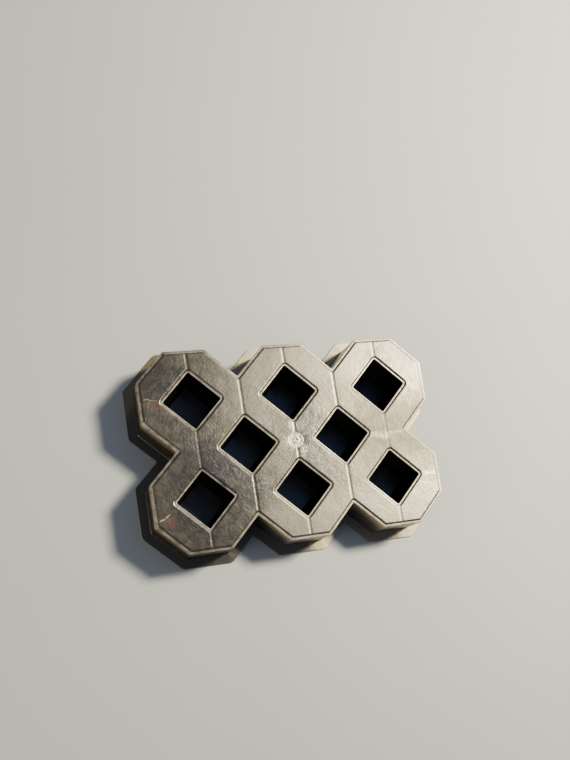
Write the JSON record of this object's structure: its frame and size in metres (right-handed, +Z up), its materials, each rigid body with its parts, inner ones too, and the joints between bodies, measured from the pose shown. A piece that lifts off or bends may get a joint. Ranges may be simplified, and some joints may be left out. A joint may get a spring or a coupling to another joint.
{
  "type": "plastic mould for a concrete grass paver",
  "caption": "Thin-walled plastic mould that casts a concrete grass paver with square holes, closed face up, with a flange round its open underside.",
  "frame": {"origin": "middle of the underside, on the plane of the flange and the ends of the cores", "axes": "+X along the paver's 600 mm length, +Y across its 400 mm width, +Z up towards the closed face"},
  "size_m": [0.646, 0.446, 0.0875],
  "materials": {
    "black_plastic": "satin black plastic with grey flow streaks and scuffs"
  },
  "bodies": {
    "root": {"mould_shell": "black_plastic"}
  },
  "joints": []
}
